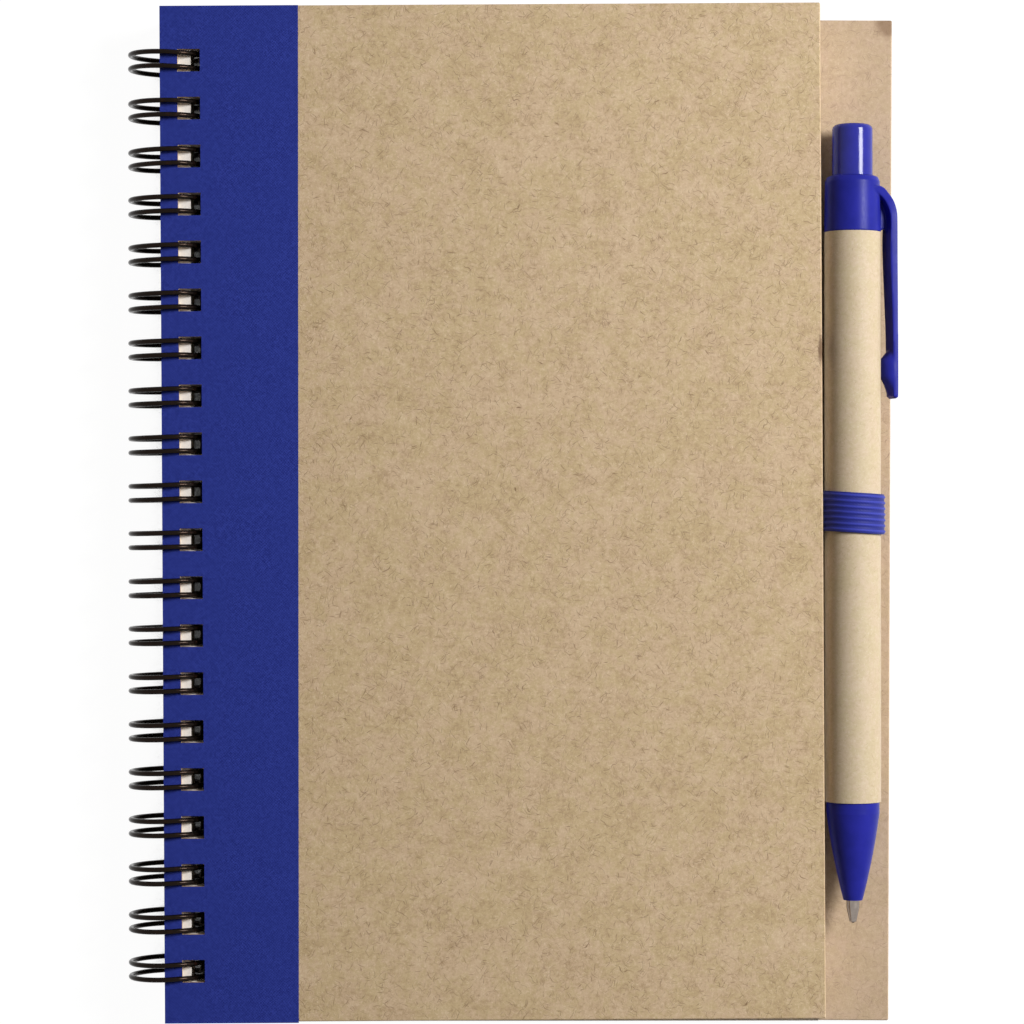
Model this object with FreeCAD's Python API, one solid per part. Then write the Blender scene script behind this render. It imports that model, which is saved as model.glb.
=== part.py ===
import FreeCAD, Part
import math
import os
from FreeCAD import Vector

# Sizes are in millimetres. The binding's axis runs along Y, X points from it to the open edge and Z up.

# Wire binding, three loops to the inch, each loop of two wires
loop_pitch = 25.4 / 3
ring_od = 14.3
wire_d = 0.9
twin_spacing = 2.5
root_bend_r = 1.0
tip_gap = 0.1

# Boards and leaves
leaf_h = 179.5
end_margin = 9.3
board_t = 1.2
block_t = 6.9
block_w = 114.3
block_trim = 0.5
front_w = 116.7
hole_clear = 0.3
hole_margin = 3.1
seam_clear = 0.25

# How each leaf lies on the wire: its slip across, its punching along the spine and its turn in degrees
front_slip = 0.0
front_offset = 0.3
front_turn = 0.27
block_slip = 0.32
back_slip = -0.07
back_offset = -0.4
back_turn = -0.26

# Paper strip along the front cover's spine edge
strip_t = 0.1
strip_w = 24.05
strip_lap = 0.2

# Elastic pen loop, glued to the back cover's inside
band_w = 7.1
band_t = 0.75
band_y = 0.45
rib_count = 7
rib_w = 0.62
rib_h = 0.12
hug_clear = 0.05
loop_gap = 0.33
tail_l = 18.0
shelf_edge = 7.35

# Click pen: its places are measured along Y from the middle of the barrel
pen_y = -0.3
barrel_d = 10.0
barrel_wall = 0.7
barrel_l = 101.1
spigot_clear = 0.05
run_clear = 0.08
press_travel = 1.2
click_travel = 5.0

collar_l = 10.05
collar_top_d = 9.7
collar_round = 1.1
collar_neck_l = 2.75
collar_spigot_l = 12.0

clip_reach = 8.0
clip_root_reach = 7.8
clip_t = 1.0
clip_root_t = 1.3
clip_w = 4.0
clip_tip_w = 3.4
clip_root_w = 8.6
clip_brow_l = 1.5
clip_shoulder_l = 7.2
clip_l = 29.6
clip_drop = 10.0
web_w = 1.8
web_low = 0.6
nub_w = 2.2
nub_gap = 0.1
nub_l = 5.1
nub_rise = 3.1

button_d = 7.2
button_out = 9.1
button_round = 1.0
button_wall = 1.2
flange_h = 1.2
flange_lip = 0.1
skirt_l = 5.3

cam_disc_l = 2.5
cam_boss_d = 5.2
cam_boss_l = 4.5
cam_shaft_l = 10.0
socket_depth = 3.0

tube_od = 3.0
tube_wall = 0.5
ink_l = 58.0
point_out = 4.1
shank_d = 2.3
point_taper_l = 2.45
point_tip_d = 1.24
point_flange_d = 3.9
point_flange_l = 2.0
point_stem_l = 5.0
ball_d = 1.0
ball_out = 0.25
fit_gap = 0.02

cone_l = 17.5
cone_d = 9.4
cone_band_l = 2.0
cone_tip_d = 3.4
cone_belly = 0.25
cone_spigot_l = 7.2
cone_wall_l = 6.7

spring_wire_d = 0.4
spring_coils = 8
spring_clear = 0.2
spring_flange_inset = 0.2

# Levels of the stack, centred on the binding's axis
ring_r = (ring_od - wire_d) / 2
seam_gap = wire_d + 2 * seam_clear
stack_t = strip_t + 2 * board_t + block_t + seam_gap
front_top = stack_t / 2 - strip_t
block_top = front_top - board_t
block_bottom = block_top - block_t
back_top = block_bottom - seam_gap
back_bottom = back_top - board_t

hole = twin_spacing + wire_d + 2 * hole_clear
loop_count = round((leaf_h - 2 * end_margin) / loop_pitch) + 1
loops_y = [(i - (loop_count - 1) / 2) * loop_pitch for i in range(loop_count)]


def wire_middle(low, high):
    """Middle of the wire's width in X where it passes from one level to another."""
    inner = math.sqrt((ring_od / 2 - wire_d) ** 2 - max(abs(low), abs(high)) ** 2)
    nearest = 0 if low < 0 < high else min(abs(low), abs(high))
    outer = math.sqrt((ring_od / 2) ** 2 - nearest ** 2)
    return (inner + outer) / 2


front_hole_x = wire_middle(block_top, stack_t / 2) + front_slip
block_hole_x = wire_middle(block_bottom, block_top) + block_slip
back_hole_x = wire_middle(back_bottom, back_top) + back_slip
edge_to_hole = hole_margin + hole / 2
front_left = front_hole_x - edge_to_hole
block_left = block_hole_x - edge_to_hole
back_left = back_hole_x - edge_to_hole
front_right = front_left + front_w
block_right = block_left + block_w

# The pen lies on the elastic beside the leaves, clear of the block's edge and of the front cover's corner
barrel_r = barrel_d / 2
loop_in_r = barrel_r + hug_clear
loop_r = loop_in_r + band_t
pen_z = back_top + loop_r
reach = loop_r + loop_gap
past_cover = math.sqrt(max(0.0, reach ** 2 - max(0.0, block_top - pen_z) ** 2))
pen_x = max(block_right + reach, front_right + past_cover)
back_w = pen_x + shelf_edge - back_left

# Stations along the pen
barrel_top = pen_y + barrel_l / 2
barrel_foot = pen_y - barrel_l / 2
collar_top = barrel_top + collar_l
cone_tip = barrel_foot - cone_l
point_end = cone_tip - point_out
bore_r = barrel_r - barrel_wall
spigot_r = bore_r - spigot_clear
button_r = button_d / 2
neck_r = button_r + run_clear
flange_r = neck_r + flange_lip
works_r = flange_r + run_clear
flange_top = collar_top - collar_neck_l - click_travel - press_travel
button_foot = flange_top - flange_h - skirt_l
button_bore_r = button_r - button_wall
cam_foot = button_foot - cam_disc_l - cam_boss_l
tube_r = tube_od / 2
tube_in_r = tube_r - tube_wall
tube_top = cam_foot + socket_depth
shank_r = shank_d / 2
point_flange_r = point_flange_d / 2
spring_foot = cone_tip + cone_wall_l
spring_r = point_flange_r - spring_flange_inset + spring_wire_d / 2
chamber_r = spring_r + spring_wire_d / 2 + spring_clear
spring_top = barrel_foot + spring_flange_inset
tube_foot = spring_top + point_flange_l


def flat(outline, place):
    """Face from the points of its outline, each set in space by the function place.

    A point with four numbers is reached by an arc through its last two.
    """
    edges = []
    for start, end in zip(outline, outline[1:] + outline[:1]):
        a, b = place(*start[:2]), place(*end[:2])
        if len(end) == 4:
            edges.append(Part.Arc(a, place(*end[2:]), b).toShape())
        else:
            edges.append(Part.makeLine(a, b))
    return Part.Face(Part.Wire(edges))


def midway(start, end):
    """Middle of the arc between two points that leaves the first one along Y."""
    across, along = end[0] - start[0], end[1] - start[1]
    radius = (across ** 2 + along ** 2) / (2 * across)
    lean = math.atan2(across, along)
    return start[0] + radius * (1 - math.cos(lean)), start[1] + radius * math.sin(lean)


def turned(outline):
    """Solid of revolution about the Y axis from (radius, y) points."""
    return flat(outline, lambda r, y: Vector(r, y, 0)).revolve(Vector(), Vector(0, 1, 0), 360)


def tube(radius, inner, foot, top):
    """Straight tube about the Y axis."""
    return turned([(inner, foot), (radius, foot), (radius, top), (inner, top)])


def punched(sheet, hole_x):
    """Sheet with the binding's row of square holes."""
    box = sheet.BoundBox
    holes = [
        Part.makeBox(hole, hole, box.ZLength + 2, Vector(hole_x - hole / 2, y - hole / 2, box.ZMin - 1))
        for y in loops_y
    ]
    return sheet.cut(Part.makeCompound(holes))


def leaf(left, width, height, offset, level, thickness, hole_x):
    """Punched board or block of leaves, its underside at the level."""
    sheet = Part.makeBox(width, height, thickness, Vector(left, offset - height / 2, level))
    return punched(sheet, hole_x)


def turn_on_wire(shape, hole_x, degrees):
    """Shape turned a little about the middle of its row of holes."""
    shape.rotate(Vector(hole_x, 0, 0), Vector(0, 0, 1), degrees)
    return shape


def front_cover():
    board = leaf(front_left, front_w, leaf_h, front_offset, block_top, board_t, front_hole_x)
    return turn_on_wire(board, front_hole_x, front_turn)


def spine_strip():
    """Strip trimmed with the cover's spine edge, its other edge parallel to the binding."""
    turn = math.radians(front_turn)
    top = front_offset + leaf_h / 2
    foot = front_offset - leaf_h / 2 - strip_lap
    slant = math.tan(turn)
    right = front_left + strip_w
    corners = [
        Vector(front_left, foot, front_top),
        Vector(right + foot * slant, foot, front_top),
        Vector(right + top * slant, top, front_top),
        Vector(front_left, top, front_top),
    ]
    sheet = Part.Face(Part.makePolygon(corners + corners[:1])).extrude(Vector(0, 0, strip_t))
    return turn_on_wire(punched(sheet, front_hole_x), front_hole_x, front_turn)


def page_block():
    height = leaf_h - block_trim
    return leaf(block_left, block_w, height, 0, block_bottom, block_t, block_hole_x)


def back_cover():
    board = leaf(back_left, back_w, leaf_h, back_offset, back_bottom, board_t, back_hole_x)
    return turn_on_wire(board, back_hole_x, back_turn)


def on_ring(angle, y):
    """Point on the wire's centre line at an angle from +X about the binding's axis."""
    return Vector(ring_r * math.cos(angle), y, ring_r * math.sin(angle))


def binding_wire():
    """One wire bent loop by loop, its roots and closed tips meeting under the last leaf.

    A disc is carried along the wire, and each bend or bar leaves one face behind it.
    """
    seam_z = block_bottom - seam_clear - wire_d / 2
    root = math.atan2(root_bend_r, ring_r) + math.asin(seam_z / math.hypot(ring_r, root_bend_r))
    tip_r = twin_spacing / 2
    tip_to_bend = tip_r + root_bend_r + wire_d + tip_gap
    tip_chord = math.sqrt(tip_to_bend ** 2 - (tip_r + root_bend_r) ** 2)
    tip = root - 2 * math.asin(tip_chord / 2 / ring_r)
    round_angle = 360 - math.degrees(root - tip)
    bar_l = loop_pitch - twin_spacing - 2 * root_bend_r
    axis = Vector(0, -1, 0)
    root_out = on_ring(root, 0).normalize()
    tip_out = on_ring(tip, 0).normalize()

    start = on_ring(root, loops_y[-1] + tip_r)
    disc = Part.Face(Part.Wire([Part.Circle(start, axis.cross(root_out), wire_d / 2).toShape()]))
    skin = [disc.copy()]

    def bend(disc, centre, about, degrees):
        swept = disc.revolve(centre, about, degrees)
        skin.extend(f for f in swept.Faces if isinstance(f.Surface, Part.Toroid))
        moved = disc.copy()
        moved.rotate(centre, about, degrees)
        return moved

    for y in reversed(loops_y):
        disc = bend(disc, Vector(0, y + tip_r, 0), axis, round_angle)
        disc = bend(disc, on_ring(tip, y), tip_out, 180)
        disc = bend(disc, Vector(0, y - tip_r, 0), -axis, round_angle)
        if y != loops_y[0]:
            corner_y = y - tip_r - root_bend_r
            disc = bend(disc, on_ring(root, corner_y), -root_out, 90)
            bar = disc.extrude(Vector(0, -bar_l, 0))
            skin.extend(f for f in bar.Faces if isinstance(f.Surface, Part.Cylinder))
            disc.translate(Vector(0, -bar_l, 0))
            disc = bend(disc, on_ring(root, corner_y - bar_l), -root_out, 90)
    shell = Part.makeCompound(skin + [disc])
    shell.sewShape()
    wire = Part.makeSolid(shell.Shells[0])
    if wire.Volume < 0:
        wire.reverse()
    return wire


def pen_loop():
    """Ribbed elastic round the barrel, with a tail under the leaves."""
    foot = band_y - band_w / 2
    rings = [tube(loop_r - rib_h, loop_in_r, foot, foot + band_w)]
    rib_pitch = (band_w - rib_w) / (rib_count - 1)
    for i in range(rib_count):
        rib_y = foot + i * rib_pitch
        rings.append(tube(loop_r, loop_in_r, rib_y, rib_y + rib_w))
    ring = rings[0].multiFuse(rings[1:])
    tail = Part.makeBox(tail_l, band_w, band_t, Vector(-tail_l, foot, -loop_r))
    hollow = Part.makeCylinder(loop_in_r, band_w + 2, Vector(0, foot - 1, 0), Vector(0, 1, 0))
    return ring.fuse(tail).cut(hollow)


def pen_barrel():
    return tube(barrel_r, bore_r, barrel_foot, barrel_top)


def pen_clip_collar():
    """Moulded top of the pen: collar, spigot in the barrel, and clip."""
    top_r = collar_top_d / 2
    swing = collar_round * (1 - math.sqrt(0.5))
    collar = turned([
        (works_r, barrel_top - collar_spigot_l),
        (spigot_r, barrel_top - collar_spigot_l),
        (spigot_r, barrel_top),
        (barrel_r, barrel_top),
        (top_r, collar_top - collar_round),
        (top_r - collar_round, collar_top, top_r - swing, collar_top - swing),
        (neck_r, collar_top),
        (neck_r, collar_top - collar_neck_l),
        (works_r, collar_top - collar_neck_l),
    ])
    return collar.fuse(clip_arm()).removeSplitter()


def clip_arm():
    """Clip: a strip that flares into the collar, a web behind its shoulder and a nub on the barrel."""
    brow = collar_top - clip_brow_l
    shoulder = collar_top - clip_shoulder_l
    end = barrel_top - clip_l
    inner = clip_reach - clip_t
    root_inner = clip_root_reach - clip_root_t
    nub_low = end + nub_rise
    nub_high = nub_low + nub_l
    sunk = (neck_r + barrel_r) / 2

    def slab(outline, width):
        return flat(outline, lambda r, y: Vector(r, y, -width / 2)).extrude(Vector(0, 0, width))

    strip = slab([
        (sunk, brow),
        (clip_root_reach, shoulder, *midway((clip_root_reach, shoulder), (sunk, brow))),
        (clip_reach, nub_high),
        (clip_reach, end + clip_t / 2),
        (inner, end + clip_t / 2, clip_reach - clip_t / 2, end),
        (inner, nub_high),
        (root_inner, shoulder),
        (sunk, brow - clip_root_t, *midway((root_inner, shoulder), (sunk, brow - clip_root_t))),
    ], clip_root_w)

    # The same strip seen from outside, where it narrows to its end
    side = clip_w / 2
    waist = (shoulder + brow) / 2
    flare = midway((side, waist), (clip_root_w / 2, brow))
    tongue = flat([
        (clip_root_w / 2, brow),
        (side, waist, *flare),
        (clip_tip_w / 2, end),
        (-clip_tip_w / 2, end),
        (-side, waist),
        (-clip_root_w / 2, brow, -flare[0], flare[1]),
    ], lambda across, y: Vector(0, y, across)).extrude(Vector(clip_reach + clip_t, 0, 0))

    web_foot = barrel_top + web_low
    web_arch = (root_inner - barrel_r) / 2
    bridge = root_inner + clip_root_t / 2
    web = slab([
        (sunk, brow - clip_root_t),
        (bridge, shoulder),
        (bridge, web_foot),
        (root_inner, web_foot),
        (barrel_r, web_foot, root_inner - web_arch, web_foot + web_arch),
        (sunk, web_foot),
    ], web_w)
    bond = inner + clip_t / 2
    nub = slab([
        (bond, nub_low),
        (inner, nub_low),
        (inner, nub_high, barrel_r + nub_gap, (nub_low + nub_high) / 2),
        (bond, nub_high),
    ], nub_w)
    arm = strip.common(tongue).multiFuse([web, nub]).removeSplitter()
    arm.rotate(Vector(), Vector(0, 1, 0), clip_drop)
    return arm


def pen_button():
    """Hollow push button with the flange that keeps it in the collar."""
    top = collar_top + button_out
    swing = button_round * (1 - math.sqrt(0.5))
    return turned([
        (button_bore_r, button_foot),
        (button_r, button_foot),
        (button_r, flange_top - flange_h),
        (flange_r, flange_top - flange_h),
        (flange_r, flange_top),
        (button_r, flange_top),
        (button_r, top - button_round),
        (button_r - button_round, top, button_r - swing, top - swing),
        (0, top),
        (0, top - button_wall),
        (button_bore_r, top - button_wall),
    ])


def pen_cam():
    """Rotor of the click works: shaft in the button, ribbed disc and socket for the refill."""
    shaft_r = button_bore_r - run_clear
    disc_foot = button_foot - cam_disc_l
    core_r = cam_boss_d / 2
    core = turned([
        (0, tube_top),
        (tube_r + fit_gap, tube_top),
        (tube_r + fit_gap, cam_foot),
        (core_r, cam_foot),
        (core_r, button_foot),
        (shaft_r, button_foot),
        (shaft_r, button_foot + cam_shaft_l),
        (0, button_foot + cam_shaft_l),
    ])
    rib_r = works_r - run_clear
    ribs = []
    for i in range(4):
        rib = Part.makeBox(rib_r, cam_disc_l, core_r / 2, Vector(0, disc_foot, -core_r / 4))
        rib.rotate(Vector(), Vector(0, 1, 0), 90 * i)
        ribs.append(rib)
    rotor = core.multiFuse(ribs).common(tube(rib_r, 0, cam_foot, button_foot + cam_shaft_l))
    socket = Part.makeCylinder(tube_r + fit_gap, socket_depth, Vector(0, cam_foot, 0), Vector(0, 1, 0))
    return rotor.cut(socket)


def refill_tube():
    return tube(tube_r, tube_in_r, tube_foot, tube_top)


def refill_ink():
    foot = tube_foot + point_stem_l
    return tube(tube_in_r - fit_gap, 0, foot, foot + ink_l)


def refill_point():
    """Turned point: stem in the tube, flange on the spring, shank, and taper round the ball."""
    ball_y = point_end + ball_d / 2
    rim = point_end + ball_out
    point = turned([
        (0, rim),
        (point_tip_d / 2, rim),
        (shank_r, rim + point_taper_l),
        (shank_r, spring_top),
        (point_flange_r, spring_top),
        (point_flange_r, tube_foot),
        (tube_in_r - fit_gap, tube_foot),
        (tube_in_r - fit_gap, tube_foot + point_stem_l),
        (0, tube_foot + point_stem_l),
    ])
    return point.cut(Part.makeSphere(ball_d / 2 + fit_gap, Vector(0, ball_y, 0)))


def point_ball():
    return Part.makeSphere(ball_d / 2, Vector(0, point_end + ball_d / 2, 0))


def pen_nose_cone():
    """Screwed-on nose with the spring's chamber and the hole for the point."""
    tip_r = cone_tip_d / 2
    band = barrel_foot - cone_band_l
    hole_r = shank_r + run_clear
    return turned([
        (hole_r, cone_tip),
        (tip_r, cone_tip),
        (cone_d / 2, band, (tip_r + cone_d / 2) / 2 + cone_belly, (cone_tip + band) / 2),
        (cone_d / 2, barrel_foot),
        (spigot_r, barrel_foot),
        (spigot_r, barrel_foot + cone_spigot_l),
        (chamber_r, barrel_foot + cone_spigot_l),
        (chamber_r, spring_foot),
        (hole_r, spring_foot),
    ])


def pen_spring():
    """Coil spring between the nose's step and the point's flange."""
    foot = spring_foot + spring_wire_d / 2 + fit_gap
    length = spring_top - spring_wire_d / 2 - fit_gap - foot
    path = Part.makeHelix(length / spring_coils, length, spring_r)
    section = Part.Wire([Part.Circle(Vector(spring_r, 0, 0), Vector(0, 1, 0), spring_wire_d / 2).toShape()])
    coil = Part.Wire(path.Edges).makePipeShell([section], True, True)
    coil.rotate(Vector(), Vector(1, 0, 0), -90)
    coil.translate(Vector(0, foot, 0))
    return coil


def save(name, shape, shift):
    if not shape.isValid():
        raise ValueError(name + " is not a valid solid")
    placed = shape.copy()
    placed.translate(shift)
    placed.exportStep("parts/" + name + ".step")


def main():
    os.makedirs("parts", exist_ok=True)
    # The finished part stands centred over its origin on the binding's underside
    middle_x = (pen_x + shelf_edge - ring_od / 2) / 2
    middle_y = (front_offset + back_offset) / 2
    shift = Vector(-middle_x, -middle_y, ring_od / 2)
    pen_shift = shift + Vector(pen_x, 0, pen_z)
    for piece in (front_cover, spine_strip, page_block, back_cover, binding_wire):
        save(piece.__name__, piece(), shift)
    for piece in (
        pen_loop, pen_barrel, pen_clip_collar, pen_button, pen_cam, refill_tube, refill_ink,
        refill_point, point_ball, pen_nose_cone, pen_spring,
    ):
        save(piece.__name__, piece(), pen_shift)


main()
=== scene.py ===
import bpy, bmesh, math
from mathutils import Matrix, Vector


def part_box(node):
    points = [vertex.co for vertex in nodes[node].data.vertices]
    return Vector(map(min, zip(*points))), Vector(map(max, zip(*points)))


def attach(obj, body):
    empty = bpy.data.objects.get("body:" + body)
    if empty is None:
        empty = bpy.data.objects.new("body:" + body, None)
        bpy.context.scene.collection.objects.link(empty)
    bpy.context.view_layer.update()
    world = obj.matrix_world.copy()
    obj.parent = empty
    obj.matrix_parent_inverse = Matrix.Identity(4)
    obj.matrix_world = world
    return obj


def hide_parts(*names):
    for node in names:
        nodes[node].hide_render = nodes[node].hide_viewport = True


# Wire-bound notebook with kraft board covers, a blue spine strip and a click pen in an elastic loop.
# Lengths in the settings are millimetres and angles degrees; Blender itself works in metres.
mm = 0.001
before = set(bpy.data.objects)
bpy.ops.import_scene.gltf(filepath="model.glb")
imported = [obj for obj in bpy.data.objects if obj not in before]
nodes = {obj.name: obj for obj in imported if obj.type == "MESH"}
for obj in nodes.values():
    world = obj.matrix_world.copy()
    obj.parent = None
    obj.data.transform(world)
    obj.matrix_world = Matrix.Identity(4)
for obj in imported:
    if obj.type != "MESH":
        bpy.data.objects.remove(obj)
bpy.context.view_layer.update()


def paint(red, green, blue):
    # an sRGB colour, 0 to 255, as the linear colour that a shader takes
    def channel(value):
        value /= 255
        return value / 12.92 if value <= 0.04045 else ((value + 0.055) / 1.055) ** 2.4
    return (channel(red), channel(green), channel(blue), 1.0)


def boxInMm(name):
    low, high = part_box(name)
    return low / mm, high / mm


def addObject(name, data):
    added = bpy.data.objects.new(name, data)
    bpy.context.scene.collection.objects.link(added)
    return added


def lineMesh(name, points, edges):
    mesh = bpy.data.meshes.new(name)
    mesh.from_pydata([Vector(point) * mm for point in points], edges, [])
    return mesh


# Small helpers that keep the node trees readable
def setInputs(tree, node, inputs):
    for key, value in inputs.items():
        if isinstance(value, bpy.types.NodeSocket):
            tree.links.new(value, node.inputs[key])
        else:
            node.inputs[key].default_value = value


def addNode(tree, kind, inputs=None, **settings):
    node = tree.nodes.new(kind)
    for key, value in settings.items():
        setattr(node, key, value)
    setInputs(tree, node, inputs or {})
    return node


def calc(tree, operation, first, second=0.0, third=0.0):
    inputs = {0: first, 1: second, 2: third}
    return addNode(tree, "ShaderNodeMath", inputs, operation=operation).outputs[0]


def vectorCalc(tree, operation, first, second):
    return addNode(tree, "ShaderNodeVectorMath", {0: first, 1: second}, operation=operation).outputs[0]


def combine(tree, x, y, z):
    return addNode(tree, "ShaderNodeCombineXYZ", {0: x, 1: y, 2: z}).outputs[0]


def splitXYZ(tree, vector):
    return addNode(tree, "ShaderNodeSeparateXYZ", {0: vector}).outputs


def ramp(tree, value, low, high, start=0.0, end=1.0):
    # start at low, end at high, eased in between
    inputs = {"Value": value, "From Min": low, "From Max": high, "To Min": start, "To Max": end}
    return addNode(tree, "ShaderNodeMapRange", inputs, interpolation_type="SMOOTHSTEP").outputs[0]


def noise(tree, coords, scale, detail=3.0, roughness=0.5, output="Fac"):
    inputs = {"Vector": coords, "Scale": scale, "Detail": detail, "Roughness": roughness}
    return addNode(tree, "ShaderNodeTexNoise", inputs, noise_dimensions="3D").outputs[output]


def wander(tree, coords, scale, detail, sway):
    # a shift that drifts within half of sway either way
    drift = noise(tree, coords, scale, detail, output="Color")
    centred = vectorCalc(tree, "SUBTRACT", drift, (0.5, 0.5, 0.5))
    return vectorCalc(tree, "MULTIPLY", centred, sway)


def mixColor(tree, factor, first, second):
    inputs = {0: factor, 6: first, 7: second}
    return addNode(tree, "ShaderNodeMix", inputs, data_type="RGBA").outputs[2]


def mixPaint(tree, factor, first, second):
    # as mixColor, with either colour given as an sRGB triple
    first, second = (paint(*colour) if isinstance(colour, tuple) else colour for colour in (first, second))
    return mixColor(tree, factor, first, second)


def newMaterial(name):
    material = bpy.data.materials.new(name)
    material.use_nodes = True
    tree = material.node_tree
    shader = tree.nodes["Principled BSDF"]
    coords = addNode(tree, "ShaderNodeTexCoord").outputs["Object"]
    inMm = vectorCalc(tree, "MULTIPLY", coords, (1 / mm, 1 / mm, 1 / mm))
    return material, tree, shader, inMm


def addFinish(tree, shader, colour, roughness, specular):
    setInputs(tree, shader, {"Base Color": colour, "Roughness": roughness, "Specular IOR Level": specular})


def addBump(tree, shader, height, distance, strength=1.0):
    inputs = {"Height": height, "Distance": distance * mm, "Strength": strength}
    setInputs(tree, shader, {"Normal": addNode(tree, "ShaderNodeBump", inputs).outputs[0]})


def dress(name, material):
    data = nodes[name].data
    data.materials.clear()
    data.materials.append(material)


# Kraft fibres: long thin cells at several angles, most of them left out
fibreCell = {"edge": (0.42, 0.2), "palest": 0.3, "sidestep": 2.3, "apart": 17.0, "firstTurn": 11,
             "lengthSpread": 0.35, "lengthStep": 2.1, "bendScale": 0.45, "bendDetail": 1.0}


def fibreLayer(tree, coords, turn, length, width, share, shift):
    placed = addNode(tree, "ShaderNodeMapping", {
        "Vector": coords, "Location": (shift, fibreCell["sidestep"] * shift, 0),
        "Rotation": (0, 0, math.radians(turn)),
    }).outputs[0]
    stretched = vectorCalc(tree, "MULTIPLY", placed, (1 / length, 1 / width, 0))
    inputs = {"Vector": stretched, "Scale": 1.0}
    cells = addNode(tree, "ShaderNodeTexVoronoi", inputs, voronoi_dimensions="2D").outputs
    inside = ramp(tree, cells["Distance"], *fibreCell["edge"])
    chosen = addNode(tree, "ShaderNodeSeparateColor", {0: cells["Color"]}).outputs
    kept = calc(tree, "GREATER_THAN", chosen[0], 1 - share)
    shade = calc(tree, "MULTIPLY_ADD", chosen[1], 1 - fibreCell["palest"], fibreCell["palest"])
    return calc(tree, "MULTIPLY", calc(tree, "MULTIPLY", inside, kept), shade)


def fibres(tree, coords, settings):
    cell = fibreCell
    bends = wander(tree, coords, cell["bendScale"], cell["bendDetail"], (settings["bend"],) * 3)
    bent = vectorCalc(tree, "ADD", coords, bends)
    total = None
    for index in range(settings["layers"]):
        turn = cell["firstTurn"] + index * 180 / settings["layers"]
        length = settings["length"] * (1 + cell["lengthSpread"] * math.sin(cell["lengthStep"] * index))
        shift = cell["apart"] * (index + 1)
        layer = fibreLayer(tree, bent, turn, length, settings["width"], settings["share"], shift)
        total = layer if total is None else calc(tree, "MAXIMUM", total, layer)
    return total


kraftBoard = {
    "colour": (189, 165, 130),
    "dark": (166, 141, 107),
    "light": (205, 183, 151),
    "olive": (185, 163, 123),
    "rose": (194, 168, 139),
    "fibre": (104, 76, 46),
    "fleck": (220, 200, 170),
    "aged": (170, 146, 128),
    # the cut edges' pale layer, partly a painted highlight
    "edge": (226, 204, 172),
    "core": (186, 154, 118),
    "layers": 6,
    "length": 2.1,
    "width": 0.13,
    "share": 0.035,
    "bend": 1.7,
    "fibreDepth": 0.75,
    "edgeStretch": (0.3, 0.3, 9.0),
    "edgeLayers": (1.0, 2.0),
    "edgeStep": (0.35, 0.65),
    "edgeTurn": (0.75, 0.4),
    "roughness": 0.7,
    "specular": 0.4,
    "fibreHeight": 0.25,
    "bump": 0.05,
}

# noises are scale, detail and roughness; a step is where a change starts and ends
kraftGrain = {
    "cloud": (0.22, 3.0, 0.6),
    "cloudShare": 0.2,
    "grain": (1.0, 7.0, 0.9),
    "hue": (0.2, 6.0, 0.8),
    "hueShift": (90.0, 31.0, 0.0),
    "hueStep": (0.42, 0.58),
    "hueMix": 0.75,
    "darkStep": (0.36, 0.52),
    "lightStep": (0.5, 0.66),
    "fleckTurns": (35, 95, 155),
    "fleckPlace": (41.0, 13.0, 0.0),
    "fleckShift": 5.0,
    "fleckLength": 0.8,
    "fleckWidth": 0.16,
    "fleckShare": 0.09,
    "fleckDepth": 0.5,
}


def kraftColour(tree, coords, settings):
    grain = kraftGrain
    coarse = calc(tree, "MULTIPLY", noise(tree, coords, *grain["cloud"]), grain["cloudShare"])
    fine = calc(tree, "MULTIPLY", noise(tree, coords, *grain["grain"]), 1 - grain["cloudShare"])
    tone = calc(tree, "ADD", coarse, fine)
    hue = noise(tree, vectorCalc(tree, "ADD", coords, grain["hueShift"]), *grain["hue"])
    middle = mixPaint(tree, ramp(tree, hue, *grain["hueStep"]), settings["olive"], settings["rose"])
    middle = mixPaint(tree, grain["hueMix"], settings["colour"], middle)
    colour = mixPaint(tree, ramp(tree, tone, *grain["darkStep"]), settings["dark"], middle)
    colour = mixPaint(tree, ramp(tree, tone, *grain["lightStep"]), colour, settings["light"])
    dark = fibres(tree, coords, settings)
    colour = mixPaint(tree, calc(tree, "MULTIPLY", dark, settings["fibreDepth"]), colour, settings["fibre"])
    moved = vectorCalc(tree, "ADD", coords, grain["fleckPlace"])
    for turn in grain["fleckTurns"]:
        pale = fibreLayer(tree, moved, turn, grain["fleckLength"], grain["fleckWidth"], grain["fleckShare"],
                          grain["fleckShift"] + turn)
        colour = mixPaint(tree, calc(tree, "MULTIPLY", pale, grain["fleckDepth"]), colour, settings["fleck"])
    return colour, tone, dark


# scale and detail of what makes a dark patch's outline uneven
darkPatchDrift = (1.1, 4.0)


def patch(tree, coords, darkPatch):
    # 1 inside an uneven oval about the middle, 0 outside
    wobble, softness = darkPatch["wobble"], darkPatch["softness"]
    moved = vectorCalc(tree, "ADD", coords, wander(tree, coords, *darkPatchDrift, (wobble, wobble, 0)))
    centred = vectorCalc(tree, "SUBTRACT", moved, darkPatch["middle"])
    scaled = vectorCalc(tree, "DIVIDE", centred, darkPatch["size"])
    length = addNode(tree, "ShaderNodeVectorMath", {0: scaled}, operation="LENGTH").outputs["Value"]
    return ramp(tree, length, 1 + softness, 1 - softness)


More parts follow.
